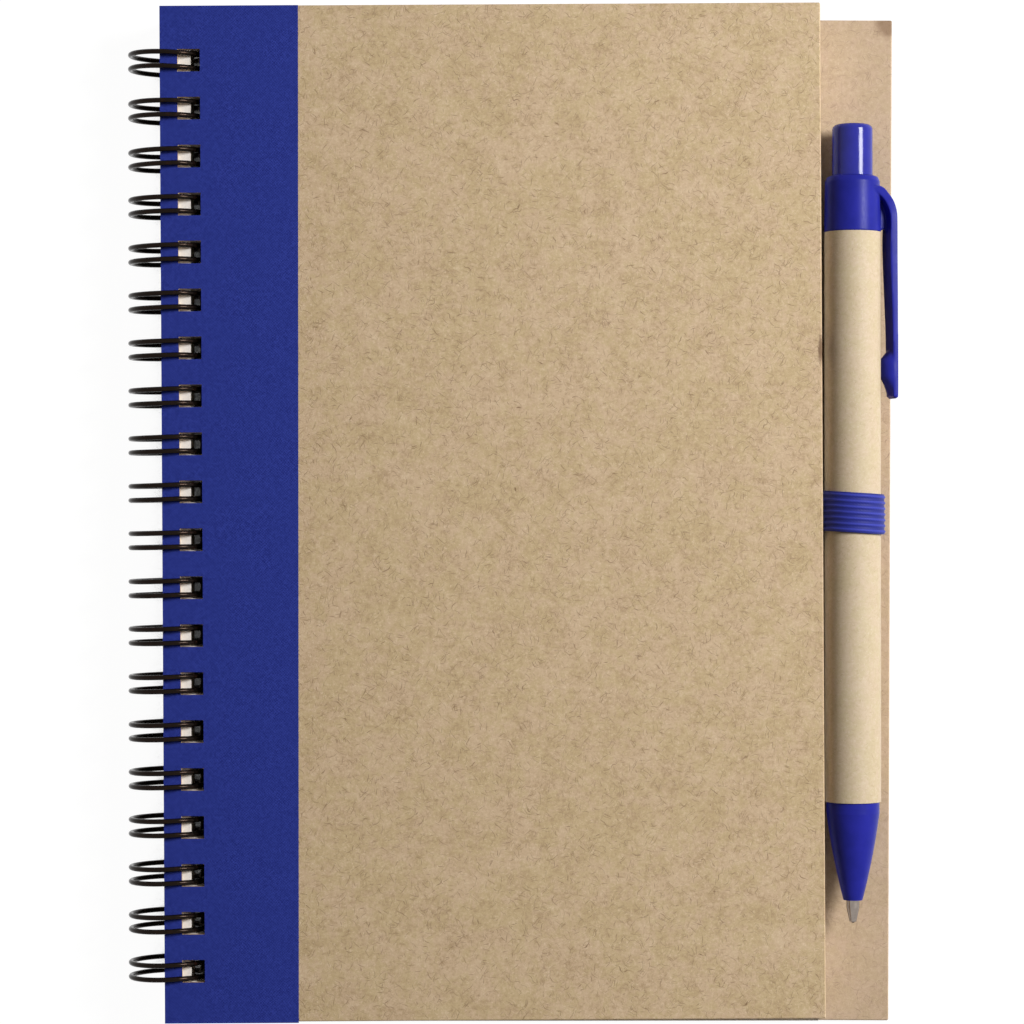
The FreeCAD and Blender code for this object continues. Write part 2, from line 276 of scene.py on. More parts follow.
def makeKraftBoard(name, darkPatches, age):
    material, tree, shader, coords = newMaterial(name)
    settings = kraftBoard
    colour, tone, dark = kraftColour(tree, coords, settings)
    colour = mixPaint(tree, age, colour, settings["aged"])
    # the cut edges show the board's layers, painted lighter than the face: partly the board's own core, partly
    # a painted highlight of the edge catching the lamp
    normal = addNode(tree, "ShaderNodeTexCoord").outputs["Normal"]
    upright = calc(tree, "ABSOLUTE", splitXYZ(tree, normal)[2])
    layers = noise(tree, vectorCalc(tree, "MULTIPLY", coords, settings["edgeStretch"]), *settings["edgeLayers"])
    edge = mixPaint(tree, ramp(tree, layers, *settings["edgeStep"]), settings["core"], settings["edge"])
    colour = mixColor(tree, ramp(tree, upright, *settings["edgeTurn"]), colour, edge)
    for darkPatch in darkPatches:
        mask = calc(tree, "MULTIPLY", patch(tree, coords, darkPatch), darkPatch["depth"])
        colour = mixPaint(tree, mask, colour, darkPatch["colour"])
    addFinish(tree, shader, colour, settings["roughness"], settings["specular"])
    height = calc(tree, "ADD", tone, calc(tree, "MULTIPLY", dark, settings["fibreHeight"]))
    addBump(tree, shader, height, settings["bump"])
    return material


# a narrow darker brown patch on the front cover's right edge
frontDarkPatches = [
    {"middle": (54.75, 29.4, 12.4), "size": (0.45, 2.2, 3.0), "softness": 0.5, "wobble": 0.7,
     "depth": 0.85, "colour": (98, 70, 46)},
]
# a darker brown patch at the back cover's top right corner
backDarkPatches = [
    {"middle": (68.2, 88.4, 2.9), "size": (2.6, 2.6, 3.0), "softness": 0.4, "wobble": 1.2,
     "depth": 0.7, "colour": (120, 92, 66)},
]

# a bump is its distance and strength; a range is what a value runs between over its step
spineStrip = {
    "colour": (39, 52, 133),
    # dark is the weave's hollows in painted shade, light its raised threads as a painted highlight; the grain
    # mixes in too
    "dark": (27, 37, 112),
    "light": (52, 66, 156),
    "clothPitch": 0.5,
    "clothHeight": 0.3,
    "drift": (0.8, 3.0),
    "sway": (0.7, 0.7, 0.0),
    "grain": (2.2, 5.0, 0.75),
    "grainHeight": 0.9,
    "lightStep": (0.35, 0.9),
    "fade": (0.15, 3.0),
    "fadeStep": (0.3, 0.7),
    "fadeRange": (0.0, 0.4),
    "roughness": 0.6,
    "specular": 0.08,
    "bump": (0.03, 0.7),
}


def makeSpineStrip(settings):
    material, tree, shader, coords = newMaterial("blueClothPaper")
    # a fine book-cloth grain: crossed threads, uneven and worn soft
    drift = noise(tree, coords, *settings["drift"], output="Color")
    uneven = vectorCalc(tree, "ADD", coords, vectorCalc(tree, "MULTIPLY", drift, settings["sway"]))
    parts = splitXYZ(tree, uneven)
    turns = 2 * math.pi / settings["clothPitch"]
    across = calc(tree, "SINE", calc(tree, "MULTIPLY", parts[0], turns))
    along = calc(tree, "SINE", calc(tree, "MULTIPLY", parts[1], turns))
    cloth = calc(tree, "MULTIPLY_ADD", calc(tree, "MULTIPLY", across, along), 0.5, 0.5)
    cloth = calc(tree, "MULTIPLY", cloth, settings["clothHeight"])
    grain = calc(tree, "MULTIPLY", noise(tree, coords, *settings["grain"]), settings["grainHeight"])
    height = calc(tree, "ADD", cloth, grain)
    # the raised threads are painted lighter and the hollows darker: painted shade of the weave, over the
    # grain's own random tone
    colour = mixPaint(tree, ramp(tree, height, *settings["lightStep"]), settings["dark"], settings["light"])
    cloud = noise(tree, coords, *settings["fade"])
    faded = ramp(tree, cloud, *settings["fadeStep"], *settings["fadeRange"])
    colour = mixPaint(tree, faded, colour, settings["colour"])
    addFinish(tree, shader, colour, settings["roughness"], settings["specular"])
    addBump(tree, shader, height, *settings["bump"])
    return material


wireFinish = {
    "colour": (10, 8, 7),
    "worn": (30, 15, 11),
    "spots": (1.3, 4.0, 0.6),
    "wornStep": (0.5, 0.75),
    "glossStep": (0.3, 0.7),
    "roughness": (0.14, 0.22),
    "specular": 0.14,
    "sheenColour": (255, 214, 190),
    "dimples": (2.2, 2.0),
    "bump": (0.01, 0.6),
}


def makeWireCoat(settings):
    material, tree, shader, coords = newMaterial("blackWireCoat")
    spots = noise(tree, coords, *settings["spots"])
    colour = mixPaint(tree, ramp(tree, spots, *settings["wornStep"]), settings["colour"], settings["worn"])
    gloss = ramp(tree, spots, *settings["glossStep"], *settings["roughness"])
    addFinish(tree, shader, colour, gloss, settings["specular"])
    setInputs(tree, shader, {"Specular Tint": paint(*settings["sheenColour"])})
    addBump(tree, shader, noise(tree, coords, *settings["dimples"]), *settings["bump"])
    return material


leafPaper = {
    "dark": (232, 225, 218),
    "light": (241, 236, 230),
    "grain": (2.5, 4.0, 0.6),
    "lightStep": (0.3, 0.7),
    "roughness": 0.75,
    "specular": 0.2,
    "bump": (0.01, 0.5),
}


def makeLeafPaper(settings):
    material, tree, shader, coords = newMaterial("whiteLeafPaper")
    grain = noise(tree, coords, *settings["grain"])
    colour = mixPaint(tree, ramp(tree, grain, *settings["lightStep"]), settings["dark"], settings["light"])
    addFinish(tree, shader, colour, settings["roughness"], settings["specular"])
    addBump(tree, shader, grain, *settings["bump"])
    return material


barrelLow, barrelHigh = boxInMm("pen_barrel")
penAxis = {"x": (barrelLow.x + barrelHigh.x) / 2, "z": (barrelLow.z + barrelHigh.z) / 2}


def roundThePen(tree, coords, radius):
    # coordinates unrolled round the pen's axis: arc length and place along the pen
    parts = splitXYZ(tree, coords)
    across = calc(tree, "SUBTRACT", parts[0], penAxis["x"])
    up = calc(tree, "SUBTRACT", parts[2], penAxis["z"])
    arc = calc(tree, "MULTIPLY", calc(tree, "ARCTAN2", across, up), radius)
    return combine(tree, arc, parts[1], 0.0)


kraftPaper = {
    "colour": (191, 174, 147),
    "dark": (181, 162, 133),
    "light": (198, 183, 158),
    "olive": (188, 172, 139),
    "rose": (194, 174, 150),
    "fibre": (138, 113, 80),
    "fleck": (206, 193, 172),
    "layers": 4,
    "length": 1.4,
    "width": 0.1,
    "share": 0.022,
    "bend": 1.2,
    "fibreDepth": 0.45,
    "roughness": 0.6,
    "specular": 0.25,
    "bump": (0.02, 0.6),
}


def makeBarrelPaper(settings):
    material, tree, shader, coords = newMaterial("rolledKraftPaper")
    unrolled = roundThePen(tree, coords, (barrelHigh.x - barrelLow.x) / 2)
    colour, tone, _ = kraftColour(tree, unrolled, settings)
    addFinish(tree, shader, colour, settings["roughness"], settings["specular"])
    addBump(tree, shader, tone, *settings["bump"])
    return material


bluePlastic = {
    "colour": (36, 39, 142),
    "deep": (32, 36, 132),
    "cloud": (0.35, 3.0),
    "colourStep": (0.3, 0.7),
    "markStretch": (1.0, 0.35, 1.0),
    "marks": (3.0, 5.0, 0.7),
    "glossStep": (0.35, 0.7),
    "dimples": (0.9, 2.0),
    "bump": (0.02, 0.4),
}
moulded = {"name": "mouldedBluePlastic", "roughness": (0.3, 0.42), "specular": 0.09}
polished = {"name": "polishedBluePlastic", "roughness": (0.12, 0.18), "specular": 0.24}


def makeBluePlastic(settings, finish):
    material, tree, shader, coords = newMaterial(finish["name"])
    cloud = noise(tree, coords, *settings["cloud"])
    colour = mixPaint(tree, ramp(tree, cloud, *settings["colourStep"]), settings["deep"], settings["colour"])
    marks = noise(tree, vectorCalc(tree, "MULTIPLY", coords, settings["markStretch"]), *settings["marks"])
    gloss = ramp(tree, marks, *settings["glossStep"], *finish["roughness"])
    addFinish(tree, shader, colour, gloss, finish["specular"])
    addBump(tree, shader, noise(tree, coords, *settings["dimples"]), *settings["bump"])
    return material


def makeElastic(settings):
    material, tree, shader, coords = newMaterial("blueRibbedElastic")
    parts = splitXYZ(tree, roundThePen(tree, coords, settings["radius"]))
    threads = calc(tree, "SINE", calc(tree, "MULTIPLY", parts[0], 2 * math.pi / settings["threadPitch"]))
    warp = calc(tree, "SINE", calc(tree, "MULTIPLY", parts[1], 2 * math.pi / settings["warpPitch"]))
    weave = calc(tree, "MULTIPLY_ADD", calc(tree, "MULTIPLY", threads, warp), 0.5, 0.5)
    weave = calc(tree, "MULTIPLY", weave, 1 - settings["fuzzShare"])
    fuzz = calc(tree, "MULTIPLY", noise(tree, coords, *settings["fuzz"]), settings["fuzzShare"])
    tone = calc(tree, "ADD", weave, fuzz)
    height = addNode(tree, "ShaderNodeAttribute", attribute_name="ridge").outputs["Fac"]
    valley = mixPaint(tree, tone, settings["dark"], settings["colour"])
    # the rib crests are painted lighter as a painted highlight, and the grooves between them darker as painted
    # shade
    colour = mixPaint(tree, ramp(tree, height, *settings["ridgeStep"]), valley, settings["ribHighlightColour"])
    addFinish(tree, shader, colour, settings["roughness"], settings["specular"])
    setInputs(tree, shader, {
        "Sheen Weight": settings["sheen"], "Sheen Roughness": settings["sheenRoughness"],
    })
    addBump(tree, shader, tone, *settings["bump"])
    return material


# what hardly shows: the material's name, its two colours, their noise's scale, metallic, least roughness, bump
simpleFinishes = {
    "pen_cam": ("whiteCamPlastic", (226, 226, 222), (238, 238, 234), 1.2, 0.0, 0.4, 0.01),
    "pen_spring": ("springSteel", (160, 160, 162), (190, 190, 192), 4.0, 1.0, 0.25, 0.005),
    "refill_tube": ("milkyTube", (206, 212, 216), (220, 226, 230), 0.8, 0.0, 0.35, 0.005),
    "refill_ink": ("blueInk", (16, 18, 84), (24, 26, 100), 1.0, 0.0, 0.2, 0.005),
    "refill_point": ("nickelPoint", (128, 118, 110), (158, 148, 140), 0.8, 1.0, 0.16, 0.001),
    "point_ball": ("inkedBall", (40, 30, 32), (58, 46, 48), 5.0, 1.0, 0.2, 0.001),
}
simpleStreaks = {"detail": 4.0, "roughness": 0.6, "glossStep": (0.3, 0.7), "glossSpread": 0.12,
                 "specular": 0.5, "bumpStrength": 0.6}


def makeSimple(name, low, high, scale, metallic, roughness, bump):
    material, tree, shader, coords = newMaterial(name)
    settings = simpleStreaks
    streaks = noise(tree, coords, scale, settings["detail"], settings["roughness"])
    gloss = ramp(tree, streaks, *settings["glossStep"], roughness, roughness + settings["glossSpread"])
    addFinish(tree, shader, mixPaint(tree, streaks, low, high), gloss, settings["specular"])
    setInputs(tree, shader, {"Metallic": metallic})
    addBump(tree, shader, streaks, bump, settings["bumpStrength"])
    return material


print("finishes")
dress("front_cover", makeKraftBoard("frontKraftBoard", frontDarkPatches, 0.0))
dress("back_cover", makeKraftBoard("backKraftBoard", backDarkPatches, 0.45))
dress("spine_strip", makeSpineStrip(spineStrip))
dress("pen_barrel", makeBarrelPaper(kraftPaper))
dress("pen_button", makeBluePlastic(bluePlastic, polished))
plastic = makeBluePlastic(bluePlastic, moulded)
dress("pen_nose_cone", plastic)
for name, row in simpleFinishes.items():
    dress(name, makeSimple(*row))

# Finish the boards' cut edges: a slight round where the knife pressed
boardEdge = {"round": 0.28, "weld": 0.002, "segments": 3}
for name in ("front_cover", "back_cover"):
    weld = nodes[name].modifiers.new("weldCorners", "WELD")
    weld.merge_threshold = boardEdge["weld"] * mm
    bevel = nodes[name].modifiers.new("roundEdges", "BEVEL")
    bevel.width = boardEdge["round"] * mm
    bevel.segments = boardEdge["segments"]
    bevel.limit_method = "ANGLE"
    bevel.harden_normals = True


# Geometry Nodes trees: named inputs in, one plain mesh out
def newTree(name, inputs):
    tree = bpy.data.node_groups.new(name, "GeometryNodeTree")
    tree.interface.new_socket("Geometry", in_out="INPUT", socket_type="NodeSocketGeometry")
    for label, kind in inputs.items():
        tree.interface.new_socket(label, in_out="INPUT", socket_type="NodeSocket" + kind)
    tree.interface.new_socket("Geometry", in_out="OUTPUT", socket_type="NodeSocketGeometry")
    given = tree.nodes.new("NodeGroupInput").outputs
    return tree, given


def endTree(tree, geometry, material):
    realized = addNode(tree, "GeometryNodeRealizeInstances", {"Geometry": geometry}).outputs[0]
    painted = addNode(tree, "GeometryNodeSetMaterial", {"Geometry": realized, "Material": material})
    last = tree.nodes.new("NodeGroupOutput")
    tree.links.new(painted.outputs[0], last.inputs[0])


def growMesh(name, tree, values, start=None):
    carrier = addObject(name + "Carrier", start or bpy.data.meshes.new(name + "Start"))
    modifier = carrier.modifiers.new("grow", "NODES")
    modifier.node_group = tree
    for item in tree.interface.items_tree:
        if item.in_out == "INPUT" and item.name in values:
            modifier[item.identifier] = values[item.name]
    grown = carrier.evaluated_get(bpy.context.evaluated_depsgraph_get())
    mesh = bpy.data.meshes.new_from_object(grown)
    mesh.name = name
    bpy.data.objects.remove(carrier)
    print(name, len(mesh.polygons), "faces")
    return addObject(name, mesh)


def joinGeometry(tree, parts):
    joined = addNode(tree, "GeometryNodeJoinGeometry")
    for part in parts:
        tree.links.new(part, joined.inputs[0])
    return joined.outputs[0]


def weldPoints(tree, geometry):
    # metres: far less than any real gap
    inputs = {"Geometry": geometry, "Distance": 1e-6}
    return addNode(tree, "GeometryNodeMergeByDistance", inputs).outputs[0]


def randomVector(tree, reach, seed):
    # anywhere between minus reach and reach
    least = [calc(tree, "MULTIPLY", part, -1.0) if part else 0.0 for part in reach]
    inputs = {"Min": combine(tree, *least), "Max": combine(tree, *reach), "Seed": seed}
    return addNode(tree, "FunctionNodeRandomValue", inputs, data_type="FLOAT_VECTOR").outputs[0]


# The leaves: one punched sheet, stacked with a little play
blockLow, blockHigh = boxInMm("page_block")
wireLow, wireHigh = boxInMm("binding_wire")
leafStack = {
    "leaves": 69,
    "holeSize": 4.0,
    "holePitch": 25.4 / 3,
    "holeCount": 20,
    "holeInset": 5.1,
    "gap": 0.008,
    "play": 0.09,
    "lean": 0.05,
    "seed": 7,
}


def makeLeafStack(settings, paper):
    tree, given = newTree("leafStack", {
        "Width": "Float", "Height": "Float", "Leaves": "Int", "Leaf Pitch": "Float",
        "Leaf Thickness": "Float", "Hole Size": "Float", "Hole Pitch": "Float",
        "Hole Count": "Int", "First Hole": "Vector",
        "Foot": "Vector", "Play": "Float", "Lean": "Float", "Seed": "Int",
    })
    rectangle = "GeometryNodeCurvePrimitiveQuadrilateral"
    outline = addNode(tree, rectangle, {"Width": given["Width"], "Height": given["Height"]}).outputs[0]
    square = addNode(tree, rectangle, {"Width": given["Hole Size"], "Height": given["Hole Size"]}).outputs[0]
    row = addNode(tree, "GeometryNodeMeshLine", {
        "Count": given["Hole Count"], "Start Location": given["First Hole"],
        "Offset": combine(tree, 0.0, given["Hole Pitch"], 0.0),
    }).outputs[0]
    holes = addNode(tree, "GeometryNodeInstanceOnPoints", {"Points": row, "Instance": square}).outputs[0]
    holes = addNode(tree, "GeometryNodeRealizeInstances", {"Geometry": holes}).outputs[0]
    curves = joinGeometry(tree, (outline, holes))
    sheet = addNode(tree, "GeometryNodeFillCurve", {"Curve": curves}).outputs[0]
    raised = addNode(tree, "GeometryNodeExtrudeMesh", {
        "Mesh": sheet, "Offset": (0.0, 0.0, 1.0), "Offset Scale": given["Leaf Thickness"],
        "Individual": False,
    }).outputs[0]
    under = addNode(tree, "GeometryNodeFlipFaces", {"Mesh": sheet}).outputs[0]
    leaf = weldPoints(tree, joinGeometry(tree, (raised, under)))
    pile = addNode(tree, "GeometryNodeMeshLine", {
        "Count": given["Leaves"], "Start Location": given["Foot"],
        "Offset": combine(tree, 0.0, 0.0, given["Leaf Pitch"]),
    }).outputs[0]
    leaves = addNode(tree, "GeometryNodeInstanceOnPoints", {"Points": pile, "Instance": leaf}).outputs[0]
    slips = randomVector(tree, (given["Play"], given["Play"], 0.0), given["Seed"])
    leaves = addNode(tree, "GeometryNodeTranslateInstances",
                     {"Instances": leaves, "Translation": slips}).outputs[0]
    turns = randomVector(tree, (0.0, 0.0, given["Lean"]), given["Seed"])
    leaves = addNode(tree, "GeometryNodeRotateInstances", {"Instances": leaves, "Rotation": turns}).outputs[0]
    endTree(tree, leaves, paper)
    width, height = blockHigh.x - blockLow.x, blockHigh.y - blockLow.y
    pitch = (blockHigh.z - blockLow.z) / settings["leaves"]
    middle = (blockLow + blockHigh) / 2
    wireMiddle = (wireLow.y + wireHigh.y) / 2
    firstHole = wireMiddle - middle.y - (settings["holeCount"] - 1) / 2 * settings["holePitch"]
    trim = 2 * settings["play"]
    return growMesh("page_leaves", tree, {
        "Width": (width - trim) * mm, "Height": (height - trim) * mm,
        "Leaves": settings["leaves"], "Leaf Pitch": pitch * mm,
        "Leaf Thickness": (pitch - settings["gap"]) * mm,
        "Hole Size": (settings["holeSize"] - trim / 2) * mm, "Hole Pitch": settings["holePitch"] * mm,
        "Hole Count": settings["holeCount"],
        "First Hole": Vector((settings["holeInset"] - width / 2, firstHole, 0)) * mm,
        "Foot": Vector((middle.x, middle.y, blockLow.z)) * mm,
        "Play": settings["play"] / 2 * mm, "Lean": math.radians(settings["lean"]) / 2,
        "Seed": settings["seed"],
    })


print("leaves")
leaves = makeLeafStack(leafStack, makeLeafPaper(leafPaper))
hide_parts("page_block")
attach(leaves, "leaves")

# The wire: one loop's line, repeated along the spine and given its round section
wireLoop = {
    "pitch": 25.4 / 3,
    "count": 20,
    "ringDiameter": 14.3,
    "wireDiameter": 0.9,
    "twinSpacing": 2.5,
    "rootBend": 1.0,
    "tipGap": 0.1,
    "seamClear": 0.25,
    "arcStep": 3.0,
    "bendSteps": 8,
    "sides": 14,
    # how far each loop's outer end is pushed along the spine, within what the holes clear as the covers turn
    "lean": [0.27, 0.0, -0.26, -0.2, -0.27, -0.27, -0.22, -0.24, -0.27, -0.27,
             -0.21, -0.27, -0.22, -0.26, -0.27, -0.27, -0.24, -0.27, -0.27, -0.25],
    # where along X the lean starts and is whole, and how steeply it starts
    "leanFrom": -58.5,
    "leanTo": -67.5,
    "leanEase": 1.6,
}


def firstLoopY(settings):
    return (wireLow.y + wireHigh.y) / 2 + (settings["count"] - 1) / 2 * settings["pitch"]


def loopLine(settings):
    # one loop from its first root to the next loop's first root, about the ring's axis
    radius = (settings["ringDiameter"] - settings["wireDiameter"]) / 2
    bend = settings["rootBend"]
    tipRadius = settings["twinSpacing"] / 2
    ringHeight = wireLow.z + settings["ringDiameter"] / 2
    seam = blockLow.z - settings["seamClear"] - settings["wireDiameter"] / 2 - ringHeight
    root = math.atan2(bend, radius) + math.asin(seam / math.hypot(radius, bend))
    tipToBend = tipRadius + bend + settings["wireDiameter"] + settings["tipGap"]
    chord = math.sqrt(tipToBend ** 2 - (tipRadius + bend) ** 2)
    tip = root - 2 * math.asin(chord / 2 / radius)
    sweep = 2 * math.pi - (root - tip)

    def onRing(angle, y):
        return Vector((radius * math.cos(angle), y, radius * math.sin(angle)))

    def along(angle):
        return Vector((-math.sin(angle), 0, math.cos(angle)))

    side = Vector((0, 1, 0))
    arcSteps = round(math.degrees(sweep) / settings["arcStep"])
    points = [onRing(root + sweep * i / arcSteps, tipRadius) for i in range(arcSteps)]
    tipSteps = 2 * settings["bendSteps"]
    for i in range(tipSteps):
        turn = math.pi * i / tipSteps
        points.append(onRing(tip, 0) + tipRadius * (math.cos(turn) * side + math.sin(turn) * along(tip)))
    points += [onRing(root + sweep * (1 - i / arcSteps), -tipRadius) for i in range(arcSteps)]
    barLength = settings["pitch"] - settings["twinSpacing"] - 2 * bend
    corner = onRing(root, -tipRadius - bend)
    for i in range(settings["bendSteps"]):
        turn = math.pi / 2 * i / settings["bendSteps"]
        points.append(corner + bend * (math.cos(turn) * side - math.sin(turn) * along(root)))
    corner = corner - barLength * side
    for i in range(settings["bendSteps"] + 1):
        turn = math.pi / 2 * i / settings["bendSteps"]
        points.append(corner + bend * (-math.cos(turn) * along(root) - math.sin(turn) * side))
    return points


def makeWire(settings, coat):
    points = loopLine(settings)
    line = lineMesh("loopLine", points, [(i, i + 1) for i in range(len(points) - 1)])
    tree, given = newTree("twinLoopWire", {
        "Loops": "Int", "Pitch": "Float", "Axis Start": "Vector", "Last Root": "Float",
        "Wire Radius": "Float", "Sides": "Int",
    })
    places = addNode(tree, "GeometryNodeMeshLine", {
        "Count": given["Loops"], "Start Location": given["Axis Start"],
        "Offset": combine(tree, 0.0, calc(tree, "MULTIPLY", given["Pitch"], -1.0), 0.0),
    }).outputs[0]
    loops = addNode(tree, "GeometryNodeInstanceOnPoints",
                    {"Points": places, "Instance": given["Geometry"]}).outputs[0]
    loops = addNode(tree, "GeometryNodeRealizeInstances", {"Geometry": loops}).outputs[0]
    joined = weldPoints(tree, loops)
    place = addNode(tree, "GeometryNodeInputPosition").outputs[0]
    past = calc(tree, "LESS_THAN", splitXYZ(tree, place)[1], given["Last Root"])
    joined = addNode(tree, "GeometryNodeDeleteGeometry", {"Geometry": joined, "Selection": past}).outputs[0]
    route = addNode(tree, "GeometryNodeMeshToCurve", {"Mesh": joined}).outputs[0]
    section = addNode(tree, "GeometryNodeCurvePrimitiveCircle",
                      {"Resolution": given["Sides"], "Radius": given["Wire Radius"]}).outputs[0]
    wire = addNode(tree, "GeometryNodeCurveToMesh",
                   {"Curve": route, "Profile Curve": section, "Fill Caps": True}).outputs[0]
    wire = addNode(tree, "GeometryNodeSetShadeSmooth", {"Geometry": wire, "Shade Smooth": True}).outputs[0]
    endTree(tree, wire, coat)
    half = settings["ringDiameter"] / 2
    firstLoop = firstLoopY(settings)
    lastLoop = firstLoop - (settings["count"] - 1) * settings["pitch"]
    lastRoot = lastLoop - settings["twinSpacing"] / 2 - 0.001
    return growMesh("twin_loop_wire", tree, {
        "Loops": settings["count"], "Pitch": settings["pitch"] * mm,
        "Axis Start": Vector((wireLow.x + half, firstLoop, wireLow.z + half)) * mm,
        "Last Root": lastRoot * mm,
        "Wire Radius": settings["wireDiameter"] / 2 * mm, "Sides": settings["sides"],
    }, line)


def leanLoops(piece, settings):
    # handling has bent the loops' outer ends a little; they stay square where they pass the holes
    firstLoop, ease = firstLoopY(settings), settings["leanEase"]
    for vertex in piece.data.vertices:
        index = round((firstLoop - vertex.co.y / mm) / settings["pitch"])
        index = min(max(index, 0), settings["count"] - 1)
        share = (vertex.co.x / mm - settings["leanFrom"]) / (settings["leanTo"] - settings["leanFrom"])
        share = min(max(share, 0.0), 1.0)
        vertex.co.y += settings["lean"][index] * share * (ease - (ease - 1) * share) * mm


print("wire")
wire = makeWire(wireLoop, makeWireCoat(wireFinish))
leanLoops(wire, wireLoop)
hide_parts("binding_wire")
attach(wire, "back_half")

# The elastic: a ribbed band round the barrel and its tail under the leaves
loopLow, loopHigh = boxInMm("pen_loop")
elastic = {
    "radius": 5.42,
    "thickness": 0.75,
    "ribs": 7,
    "ribHeight": 0.2,
    "samplesPerRib": 8,
    "skew": 0.35,
    "unevenness": 0.12,
    # scale per metre and detail
    "drift": (260.0, 2.0),
    "aroundSteps": 96,
    "tailSteps": 24,
    "threadPitch": 0.55,
    "warpPitch": 0.5,
    "colour": (36, 43, 132),
    "dark": (24, 30, 98),
    # the rib crests' painted highlight
    "ribHighlightColour": (50, 58, 156),
    "ridgeStep": (0.35, 0.95),
    "fuzz": (3.2, 4.0, 0.7),
    "fuzzShare": 0.55,
    "roughness": 0.55,
    "specular": 0.2,
    "sheen": 0.08,
    "sheenRoughness": 0.4,
    "bump": (0.06, 0.8),
}


def bandSection(settings):
    # half-width points across the band with its ribs on the outside, closed along the inside
    width = loopHigh.y - loopLow.y
    steps = settings["ribs"] * settings["samplesPerRib"]
    outer = []
    for i in range(steps + 1):
        share = i / steps
        wave = 0.5 - 0.5 * math.cos(2 * math.pi * settings["ribs"] * share)
        height = settings["thickness"] / 2 - settings["ribHeight"] * (1 - wave ** 2)
        outer.append(((share - 0.5) * width, height, wave))
    inner = [((0.5 - i / settings["ribs"]) * width, -settings["thickness"] / 2, 0.0)
             for i in range(settings["ribs"] + 1)]
    return outer + inner


def makeElasticLoop(settings, cloth):
    section = bandSection(settings)
    closed = [(i, i + 1) for i in range(len(section) - 1)] + [(len(section) - 1, 0)]
    profile = lineMesh("bandSection", [(x, y, 0.0) for x, y, _ in section], closed)
    ridge = profile.attributes.new("ridge", "FLOAT", "POINT")
    for index, (_, _, wave) in enumerate(section):
        ridge.data[index].value = wave
    profileObject = addObject("bandSectionLine", profile)
    radius, count = settings["radius"], settings["aroundSteps"]
    turns = [2 * math.pi * i / count for i in range(count)]
    ring = [(radius * math.sin(turn), 0.0, -radius * math.cos(turn)) for turn in turns]
    tail = penAxis["x"] - loopLow.x
    line = [(-tail * i / settings["tailSteps"], 0.0, -radius) for i in range(settings["tailSteps"] + 1)]
    edges = [(i, (i + 1) % count) for i in range(count)]
    edges += [(count + i, count + i + 1) for i in range(len(line) - 1)]
    start = lineMesh("bandRoute", ring + line, edges)
    tree, given = newTree("ribbedElastic", {
        "Section": "Object", "Middle": "Vector", "Skew": "Float", "Unevenness": "Float",
    })
    route = addNode(tree, "GeometryNodeMeshToCurve", {"Mesh": given["Geometry"]}).outputs[0]
    shape = addNode(tree, "GeometryNodeObjectInfo", {"Object": given["Section"]}).outputs["Geometry"]
    shape = addNode(tree, "GeometryNodeMeshToCurve", {"Mesh": shape}).outputs[0]
    band = addNode(tree, "GeometryNodeCurveToMesh",
                   {"Curve": route, "Profile Curve": shape, "Fill Caps": True}).outputs[0]
    place = addNode(tree, "GeometryNodeInputPosition").outputs[0]
    slope = calc(tree, "MULTIPLY", calc(tree, "MULTIPLY", splitXYZ(tree, place)[0], given["Skew"]), -1.0)
    uneven = wander(tree, place, *settings["drift"], given["Unevenness"])
    shift = vectorCalc(tree, "ADD", combine(tree, 0.0, slope, 0.0), uneven)
    shift = vectorCalc(tree, "ADD", shift, given["Middle"])
    band = addNode(tree, "GeometryNodeSetPosition", {"Geometry": band, "Offset": shift}).outputs[0]
    band = addNode(tree, "GeometryNodeSetShadeSmooth", {"Geometry": band, "Shade Smooth": True}).outputs[0]
    endTree(tree, band, cloth)
    piece = growMesh("elastic_pen_loop", tree, {
        "Section": profileObject,
        "Middle": Vector((penAxis["x"], (loopLow.y + loopHigh.y) / 2, penAxis["z"])) * mm,
        "Skew": settings["skew"] / settings["radius"], "Unevenness": settings["unevenness"] * mm,
    }, start)
    bpy.data.objects.remove(profileObject)
    return piece


print("elastic")
penLoop = makeElasticLoop(elastic, makeElastic(elastic))
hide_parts("pen_loop")
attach(penLoop, "back_half")


